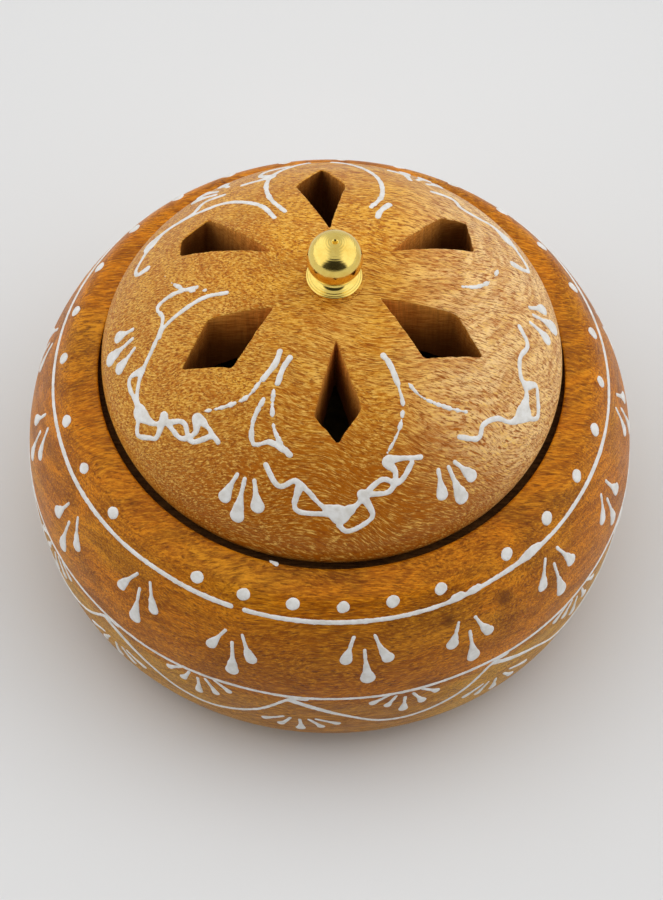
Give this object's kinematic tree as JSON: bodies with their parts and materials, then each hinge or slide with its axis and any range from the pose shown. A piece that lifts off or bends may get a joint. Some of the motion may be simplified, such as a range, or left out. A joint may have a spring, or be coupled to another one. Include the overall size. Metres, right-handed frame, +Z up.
{
  "type": "incense burner",
  "caption": "Squat round turned wooden incense burner with painted scrollwork and a pierced domed lid that lifts off by a brass ball knob.",
  "frame": {"origin": "centre of the foot, on the surface that the burner stands on", "axes": "+Z up along the turning axis and the knob; -Y towards the viewer, at the vent that points closest to the front"},
  "size_m": [0.115, 0.115, 0.0956],
  "materials": {
    "bowl_wood": "semi-gloss varnish",
    "lid_wood": "satin varnish",
    "polished_brass": "polished, with turning rings",
    "dish_brass": "dull pressed sheet",
    "screw_steel": "zinc plated",
    "white_paint": "raised hand-piped paint on the wood"
  },
  "bodies": {
    "pot": {"bowl": "bowl_wood", "ash_dish": "dish_brass", "dish_screw": "screw_steel"},
    "cover": {"lid": "lid_wood", "knob": "polished_brass", "knob_screw": "screw_steel", "knob_washer": "screw_steel"}
  },
  "joints": [
    {"name": "lid_lift", "type": "slide", "parent": "pot", "child": "cover", "axis": [0, 0, 1], "range_m": [0, 0.06]}
  ]
}
